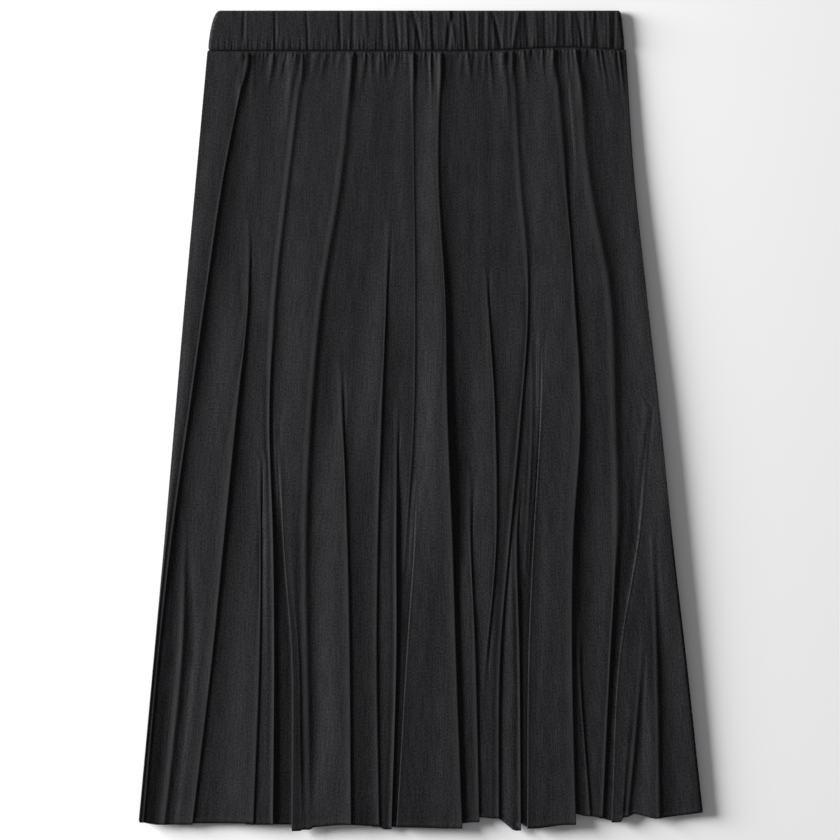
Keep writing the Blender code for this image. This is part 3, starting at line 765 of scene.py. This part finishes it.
def firm_edge(edge, neighbour, distance):
    """A point close to a side, so that the shading turns the corner over this distance only."""
    share = min(1.0, distance * MM / max((neighbour[0] - edge[0]).length, MM))
    flat = mix(edge[1][0], neighbour[1][0], share), edge[1][1]
    return edge[0].lerp(neighbour[0], share), flat, 0.0


def panel_grid(folds, lie, downs, height):
    """The rows of a panel's points, from the waist to the hem."""
    doubled = doubled_knots(folds, lie)
    grid = []
    for down in downs:
        sides = sides_at(down, lie)
        row = []
        for knot in rounded(chain(folds, lie, down), doubled):
            x, y = place_across(knot.x, down), place_down(knot.x, knot.hem, down)
            place = Vector((x, y, height(knot, down, sides))) * MM
            row.append((place, flat_place(knot, down, sides), knot.pressed))
        if not lie.flat:
            row.insert(1, firm_edge(row[0], row[1], LEFT_CORNER))
            row.insert(-1, firm_edge(row[-1], row[-2], RIGHT_CORNER))
            row = [curled_under(row[0], 1, down)] + row + [curled_under(row[-1], -1, down)]
        grid.append(row)
    return grid


def give_wall(piece):
    """The grid is the cloth's right side, and its thickness goes inwards from there."""
    wall = piece.modifiers.new("cloth wall", "SOLIDIFY")
    wall.thickness = CLOTH * MM
    wall.offset = -1.0
    wall.use_even_offset = False
    wall.use_quality_normals = True


print("a side's corner is", LEFT_CORNER, "mm wide on the left and", RIGHT_CORNER, "mm on the right")

# %% The front panel
FRONT_TUCKED = 4.0          # height of the panel's top edge, inside the band
LEFT_SLOPE, LEFT_DROP = 40.0, 0.4       # width and depth of its gentle slope to the left side
RIGHT_SLOPE, RIGHT_DROP = 42.0, 0.8
RIM_WIDTH = 6.0             # there is no small relief this close to a side
front_puckers = pucker_row(LEFT_EDGE[0], RIGHT_EDGE[0], seed=1) + WAIST_CREASES
front_puckers += stitch_row(LEFT_EDGE[0], RIGHT_EDGE[0], seed=6)


def front_height(knot, down, sides):
    """Height of a point of the front panel over the floor."""
    from_left, from_right = knot.x - sides.left, sides.right - knot.x
    lower = LEFT_DROP * max(0.0, 1 - from_left / LEFT_SLOPE) ** 2
    lower += RIGHT_DROP * max(0.0, 1 - from_right / RIGHT_SLOPE) ** 2
    relief = pucker_height(knot.x, down, front_puckers) + waves(knot.x, down, seed=2.0) + hem_relief(down)
    relief *= smooth(min(from_left, from_right) / RIM_WIDTH)
    height = FRONT_FLOOR - lower + knot.height + relief
    return mix(FRONT_TUCKED, height, smooth(down / SEAM_ROLL))


front_grid = panel_grid(FRONT_FOLDS, FRONT_LIE, FRONT_ROWS, front_height)
front = cloth_from_grid("front_panel", front_grid, right_side_up=True)
give_wall(front)
print("front panel:", len(front.data.polygons), "faces before its wall")

# %% The back panel
BACK_TUCKED = 2.3
back_puckers = pucker_row(LEFT_EDGE[0], RIGHT_EDGE[0], seed=11)


def back_height(knot, down, sides):
    """Height of a point of the back panel, whose right side lies on the floor."""
    from_side = min(knot.x - sides.left, sides.right - knot.x)
    relief = pucker_height(knot.x, down, back_puckers) * smooth(from_side / RIM_WIDTH)
    height = LAP_RISE - knot.height + relief
    return mix(BACK_TUCKED, height, smooth(down / SEAM_ROLL))


back_grid = panel_grid(BACK_FOLDS, BACK_LIE, BACK_ROWS, back_height)
back = cloth_from_grid("back_panel", back_grid, right_side_up=False)
give_wall(back)
print("back panel:", len(back.data.polygons), "faces before its wall")

# %% [markdown]
# ## The waistband
# The band is one strip of the same cloth, folded double over a wide elastic and joined to a ring. Laid
# flat, the ring has a front and a back and two tight turns. It is a grid again: its columns go round the
# ring, and its rows go up the outer face, over the top fold and down inside. When all points are in place,
# the first and last column and row lie on each other and are merged, which closes the surface.

# %% The ring and its section
BAND_WALL = 1.9             # casing and elastic together
BAND_HOLLOW = 2.6           # room for the two panels' seam allowances
BAND_MIDDLE = BAND_WALL + BAND_HOLLOW / 2
FRONT_STEPS, TURN_STEPS, BACK_STEPS = 460, 8, 160
OUTER_STEPS, INNER_STEPS = 16, 5
BAND_LEFT, BAND_RIGHT = -175.0, 167.3   # at the seam
TOP_LEFT, TOP_RIGHT = 7.6, -3.3         # how far its top corners are drawn in
CORNER_PART, CORNER_POWER = 0.45, 4     # part of that which belongs to the rounded top left corner
SECTION_POWER = 7           # how square the casing's outer face is
GATHERED = 1.15             # flat cloth for each length of band


def ring_place(step):
    """Place round the ring: share across, and which way its outer face looks (an angle from +X)."""
    if step <= FRONT_STEPS:
        return step / FRONT_STEPS, math.pi / 2
    step -= FRONT_STEPS
    if step <= TURN_STEPS:
        return 1.0, math.pi / 2 - math.pi * step / TURN_STEPS
    step -= TURN_STEPS
    if step <= BACK_STEPS:
        return 1 - step / BACK_STEPS, -math.pi / 2
    step -= BACK_STEPS
    return 0.0, -math.pi / 2 - math.pi * step / TURN_STEPS


def casing_section():
    """(share of the height, share of the wall) up the outer face and down the inner one."""
    outer = []
    for i in range(OUTER_STEPS + 1):
        up = 0.5 - 0.5 * math.cos(math.pi * i / OUTER_STEPS)
        outer.append((up, (1 - abs(2 * up - 1) ** SECTION_POWER) ** 0.5))
    inner = [(1 - (i + 1) / (INNER_STEPS + 1), 0.0) for i in range(INNER_STEPS)]
    return outer + inner + [outer[0]]


print("the casing has", len(casing_section()), "points round its section")

# %% Ruching
# Each crease of the front, one by one: x at the bottom and at the top edge, width, height, and how much of
# that is left at the seam.
BandCrease = namedtuple("BandCrease", "low top width height at_seam at_top", defaults=(1.0, 1.0))
BAND_CREASES = [BandCrease(*row) for row in (
    (-145.5, -145.0, 1.1, -1.0, 0.2), (-143.5, -143.0, 1.0, 0.3, 0.2), (-119.0, -119.5, 1.1, -1.1, 0.2),
    (-117.0, -117.5, 1.0, 0.3, 0.3), (-92.0, -94.0, 1.1, -1.0, 0.3), (-65.5, -67.0, 1.3, -1.3, 0.5),
    (-56.0, -55.5, 1.4, -0.9), (-44.0, -46.0, 1.3, 0.7, 0.5), (-31.0, -31.5, 1.4, -1.1),
    (-18.0, -21.0, 1.5, -1.2), (-11.0, -13.0, 1.2, 0.8), (0.5, -6.5, 1.5, -1.6), (10.0, 9.0, 1.3, -0.8),
    (21.0, 26.0, 1.5, -1.3), (29.0, 23.0, 1.4, 1.1), (39.0, 36.5, 1.5, -1.2), (51.5, 52.0, 1.4, -1.1),
    (66.0, 58.5, 1.5, -1.5), (75.0, 80.0, 1.7, 1.3), (87.5, 86.5, 1.8, -1.7), (95.0, 94.0, 1.3, 0.8),
    (102.0, 101.5, 1.4, -1.1), (110.5, 111.5, 1.3, 0.7), (118.5, 117.5, 1.5, -1.2),
    (132.5, 128.0, 1.5, -1.3), (139.0, 137.5, 1.3, 0.8), (145.0, 144.0, 1.6, -1.2), (158.0, 159.0, 1.4, -1.2),
)]
RUCHE_PITCH, RUCHE_FROM = 5.2, 0.3      # long ruches, and the share of the band's width where they begin
NIP_PITCH = 2.7             # short nips at the stitches
BAND_RELIEF = 0.65          # the elastic lies nearly slack, so all creases are this much flatter
RUCHE_LOW, RUCHE_HIGH = 0.08, 0.42      # between these a crease changes from one strength to the other
RUCHE_WIDTH, RUCHE_LEAN = 0.22, 2.2     # width as a share of the pitch, and how far its top may lean
PLACE_SPREAD, WIDTH_SPREAD, HEIGHT_SPREAD = 0.35, 0.2, 0.7      # how far these differ, as shares


def ruche_row(left, right, pitch, height, length, seed):
    """Small uneven creases; their strength at the top edge grows from 0 to length along the band."""
    count = round((right - left) / pitch)
    row = []
    for i in range(count):
        share = (i + 0.5 + PLACE_SPREAD * jitter(i, seed)) / count
        low = mix(left, right, share)
        top = low + RUCHE_LEAN * jitter(i, seed + 1)
        width = RUCHE_WIDTH * pitch * (1 + WIDTH_SPREAD * jitter(i, seed + 2))
        stands = height * (1 + HEIGHT_SPREAD * jitter(i, seed + 3))
        at_top = length * smooth((share - RUCHE_FROM) / RUCHE_FROM)
        row.append(BandCrease(low, top, width, stands, 1.0, at_top))
    return row


front_ruches = ruche_row(BAND_LEFT, BAND_RIGHT, RUCHE_PITCH, height=0.65, length=0.9, seed=21)
front_ruches += ruche_row(BAND_LEFT, BAND_RIGHT, NIP_PITCH, height=-0.5, length=0.0, seed=25)
back_ruches = ruche_row(BAND_LEFT, BAND_RIGHT, RUCHE_PITCH, height=-0.7, length=0.8, seed=31)
print("creases in the band:", len(BAND_CREASES), "by hand,", len(front_ruches + back_ruches), "small ones")


def ruche_height(x, up, creases):
    """How far the band stands out at one place."""
    total = 0.0
    for crease in creases:
        offset = (x - mix(crease.low, crease.top, up)) / crease.width
        if abs(offset) < OUT_OF_REACH:
            share = smooth((up - RUCHE_LOW) / (RUCHE_HIGH - RUCHE_LOW))
            total += crease.height * math.exp(-offset * offset) * mix(crease.at_seam, crease.at_top, share)
    return BAND_RELIEF * total


# %% The waistband
def band_point(step, up, out, flat_down):
    """A point of the casing: a step round the ring, a share of its height and a share of its wall."""
    share, facing = ring_place(step)
    left = BAND_LEFT + TOP_LEFT * mix(up, up**CORNER_POWER, CORNER_PART) + BAND_MIDDLE
    right = BAND_RIGHT + TOP_RIGHT * up - BAND_MIDDLE
    x = mix(left, right, share)
    ruche = 0.0
    if out > 0 and 0.0 < share < 1.0:
        in_front = facing == math.pi / 2
        ruche = ruche_height(x, up, front_ruches + BAND_CREASES if in_front else back_ruches)
        ruche = ruche if in_front else min(ruche, 0.0)
    radius = BAND_HOLLOW / 2 + (BAND_WALL + ruche) * out
    low = SEAM_Y + SEAM_GAP / 2 + seam_lift(x)
    y = mix(low, SEAM_Y + BAND_HEIGHT, up)
    place = Vector((x + radius * math.cos(facing), y, BAND_MIDDLE + radius * math.sin(facing))) * MM
    return place, ((x + RISE_SHARE * ruche) * GATHERED * MM, -flat_down * MM), 0.0


WELD_WITHIN = 0.01          # points this close to each other become one
band_section = casing_section()
ring_steps = range(FRONT_STEPS + BACK_STEPS + 2 * TURN_STEPS + 1)
band_grid, flat_down = [], 0.0
for (up, out), (last_up, last_out) in zip(band_section, band_section[:1] + band_section[:-1]):
    flat_down += math.hypot((up - last_up) * BAND_HEIGHT, (out - last_out) * BAND_WALL)
    band_grid.append([band_point(step, up, out, flat_down) for step in ring_steps])
band = cloth_from_grid("waistband_casing", band_grid, right_side_up=False)
weld = bmesh.new()
weld.from_mesh(band.data)
bmesh.ops.remove_doubles(weld, verts=weld.verts, dist=WELD_WITHIN * MM)
print("waistband:", len(weld.faces), "faces,", sum(e.is_boundary for e in weld.edges), "open edges")
weld.to_mesh(band.data)
weld.free()

# %% [markdown]
# ## The cloth's finish
# The skirt is a black woven suiting, matt, with slightly uneven yarns: some threads are lighter and
# thicker for a few centimetres, which draws fine streaks down the cloth. Black cloth is never black to the
# eye, since its fibres scatter about 3 % of the light. Along its pressed edges a paler colour paints a
# highlight, strongest on the edges that face away from the lamp. An image texture could hold all this, but
# noise stretched along the thread needs no file and has no repeat.

# %% A node, with its settings and links
def linear(hex_colour):
    """An sRGB hex colour as linear RGBA."""
    channels = [int(hex_colour[i:i + 2], 16) / 255 for i in (1, 3, 5)]
    return [c / 12.92 if c <= 0.04045 else ((c + 0.055) / 1.055) ** 2.4 for c in channels] + [1.0]


def add_node(tree, kind, settings=None, **inputs):
    """Add a node; inputs are values or other nodes' sockets, by socket name with _ for a space."""
    node = tree.nodes.new(kind)
    for name, value in (settings or {}).items():
        setattr(node, name, value)
    for name, value in inputs.items():
        socket = node.inputs[int(name[1:])] if name[1:].isdigit() else node.inputs[name.replace("_", " ")]
        if isinstance(value, bpy.types.NodeSocket):
            tree.links.new(value, socket)
        else:
            socket.default_value = value
    return node


print("the middle grey of a screen is", round(linear("#808080")[0], 3), "in linear light")

# %% Black worsted suiting
# Millimetres. Real yarns are 0.4 mm wide, too fine to show here, so the grain is drawn about 1 mm wide.
STREAK_WIDTH, STREAK_LENGTH = 1.0, 22.0
SLUB_WIDTH, SLUB_LENGTH = 0.9, 1.6
STREAK_SHARE = 0.36
# The third colour is a painted highlight for the pressed fold edges.
DARK_YARN, LIGHT_YARN, EDGE_HIGHLIGHT_GREY = "#09090b", "#242427", "#38383b"
GRAIN_FROM, GRAIN_TO = 0.41, 0.59           # the noise between these goes from the dark to the light yarns
# How far the painted highlight goes towards its colour on a fully pressed edge.
EDGE_HIGHLIGHT_SHARE = 0.85
YARN_RELIEF, YARN_BUMP = 0.25, 0.35         # height in millimetres, and how much of it the light sees


def stretched_noise(tree, uv, width, length, detail):
    """Noise drawn out along the warp: width and length of its grains in millimetres."""
    scaled = add_node(tree, "ShaderNodeMapping", Vector=uv, Scale=(1 / (width * MM), 1 / (length * MM), 1.0))
    grain = add_node(tree, "ShaderNodeTexNoise", {"noise_dimensions": "2D"},
                     Vector=scaled.outputs["Vector"], Scale=1.0, Detail=detail, Roughness=0.6)
    return grain.outputs["Fac"]


def worsted_suiting():
    """Matt black cloth: hardly any gloss, a breath of sheen from its fibres, a heather grain, and a painted
    highlight along its pressed edges.
    """
    material = bpy.data.materials.new("black_worsted_suiting")
    material.use_nodes = True
    tree = material.node_tree
    shader = tree.nodes["Principled BSDF"]
    shader.inputs["Roughness"].default_value = 0.82
    shader.inputs["Specular IOR Level"].default_value = 0.2
    shader.inputs["Sheen Weight"].default_value = 0.02
    shader.inputs["Sheen Roughness"].default_value = 0.4
    uv = add_node(tree, "ShaderNodeUVMap", {"uv_map": "flat_cloth"}).outputs["UV"]
    streaks = stretched_noise(tree, uv, STREAK_WIDTH, STREAK_LENGTH, 1.0)
    slubs = stretched_noise(tree, uv, SLUB_WIDTH, SLUB_LENGTH, 1.0)
    blend = add_node(tree, "ShaderNodeMix", _0=STREAK_SHARE, _2=slubs, _3=streaks).outputs[0]
    tone = add_node(tree, "ShaderNodeMapRange", Value=blend,
                    From_Min=GRAIN_FROM, From_Max=GRAIN_TO, To_Min=0.0, To_Max=1.0).outputs[0]
    yarns = add_node(tree, "ShaderNodeMix", {"data_type": "RGBA"},
                     _0=tone, _6=linear(DARK_YARN), _7=linear(LIGHT_YARN)).outputs[2]
    # Painted highlight: along the pressed edges the yarns' colour is lightened towards a pale grey.
    pressed = add_node(tree, "ShaderNodeAttribute", {"attribute_name": "pressed"}).outputs["Fac"]
    painted_highlight = add_node(tree, "ShaderNodeMath", {"operation": "MULTIPLY"},
                     _0=pressed, _1=EDGE_HIGHLIGHT_SHARE).outputs[0]
    colour = add_node(tree, "ShaderNodeMix", {"data_type": "RGBA"},
                      _0=painted_highlight, _6=yarns, _7=linear(EDGE_HIGHLIGHT_GREY)).outputs[2]
    tree.links.new(colour, shader.inputs["Base Color"])
    bump = add_node(tree, "ShaderNodeBump", Strength=YARN_BUMP, Distance=YARN_RELIEF * MM, Height=slubs)
    tree.links.new(bump.outputs["Normal"], shader.inputs["Normal"])
    return material


suiting = worsted_suiting()
for piece in (front, back, band):
    piece.data.materials.append(suiting)
print(suiting.name, "is made with", len(suiting.node_tree.nodes), "nodes")

# %% [markdown]
# ## What each piece is
# Each piece hides the solid that it stands for, and rides on the root body.

# %% Rides and stand-ins
for piece, node in ((front, "skirt_front"), (back, "skirt_back"), (band, "waistband")):
    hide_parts(node)
    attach(piece, "root")

# %% [markdown]
# ## Floor, light and camera
# The photograph is a cut-out on white, seen from straight above, with soft light from the upper left: each
# fold that faces right is followed by a soft shadow. One large lamp low on that side draws the folds, and
# a pale surround fills the shadows. A long lens from far above keeps the sides from leaning.

# %% Floor
FLOOR_REACH = 6.0           # metres from its middle to its edges
FLOOR_GAP = 0.3             # millimetres between the floor and the cloth, so that no faces coincide
floor_bm = bmesh.new()
bmesh.ops.create_grid(floor_bm, x_segments=1, y_segments=1, size=FLOOR_REACH)
bmesh.ops.translate(floor_bm, verts=floor_bm.verts, vec=(0, 0, -FLOOR_GAP * MM))
floor_mesh = bpy.data.meshes.new("floor")
floor_bm.to_mesh(floor_mesh)
floor_bm.free()
floor = bpy.data.objects.new("floor", floor_mesh)
bpy.context.scene.collection.objects.link(floor)
# Matt paper has no gloss and an even tone, so that only the soft shadow of the cloth shows on it.
paper = bpy.data.materials.new("matt_white_paper")
paper.use_nodes = True
paper_shader = paper.node_tree.nodes["Principled BSDF"]
paper_shader.inputs["Base Color"].default_value = linear("#f4f4f4")
paper_shader.inputs["Roughness"].default_value = 0.9
floor_mesh.materials.append(paper)
print("floor:", 2 * FLOOR_REACH, "m wide")

# %% Light
KEY_AZIMUTH, KEY_ELEVATION = math.radians(165), math.radians(17)     # from +X, and above the floor
KEY_DISTANCE, KEY_SIZE, KEY_POWER = 4.0, 2.2, 500.0
SURROUND = 0.2              # strength of the white light from all round


def lamp(name, azimuth, elevation, distance, size, power):
    """A round lamp that looks at the middle of the skirt."""
    data = bpy.data.lights.new(name, "AREA")
    data.shape = "DISK"
    data.size = size
    data.energy = power
    holder = bpy.data.objects.new(name, data)
    way = Vector((math.cos(azimuth) * math.cos(elevation), math.sin(azimuth) * math.cos(elevation),
                  math.sin(elevation)))
    holder.location = way * distance
    holder.rotation_euler = way.to_track_quat("Z", "Y").to_euler()
    bpy.context.scene.collection.objects.link(holder)
    return holder


key = lamp("key_light", KEY_AZIMUTH, KEY_ELEVATION, KEY_DISTANCE, KEY_SIZE, KEY_POWER)
print("key light:", [round(v, 2) for v in key.location], "m from the middle of the skirt")
world = bpy.data.worlds.new("pale_surround")
world.use_nodes = True
world.node_tree.nodes["Background"].inputs["Color"].default_value = (1, 1, 1, 1)
world.node_tree.nodes["Background"].inputs["Strength"].default_value = SURROUND
bpy.context.scene.world = world
bpy.context.scene.view_settings.view_transform = "Standard"     # keeps black cloth black

# %% Camera
VIEW_WIDTH = 0.6888         # metres of floor across the picture: 840 pixels of 0.82 mm
VIEW_CENTRE = Vector((-0.0008, 0.0004, 0.003))
CAMERA_HEIGHT = 3.2
camera_data = bpy.data.cameras.new("camera")
camera_data.sensor_width = 36.0
camera_data.lens = camera_data.sensor_width * CAMERA_HEIGHT / VIEW_WIDTH
camera = bpy.data.objects.new("camera", camera_data)
camera.location = VIEW_CENTRE + Vector((0, 0, CAMERA_HEIGHT))
bpy.context.scene.collection.objects.link(camera)
bpy.context.scene.camera = camera
print("camera:", round(camera_data.lens), "mm lens,", CAMERA_HEIGHT, "m above the skirt")
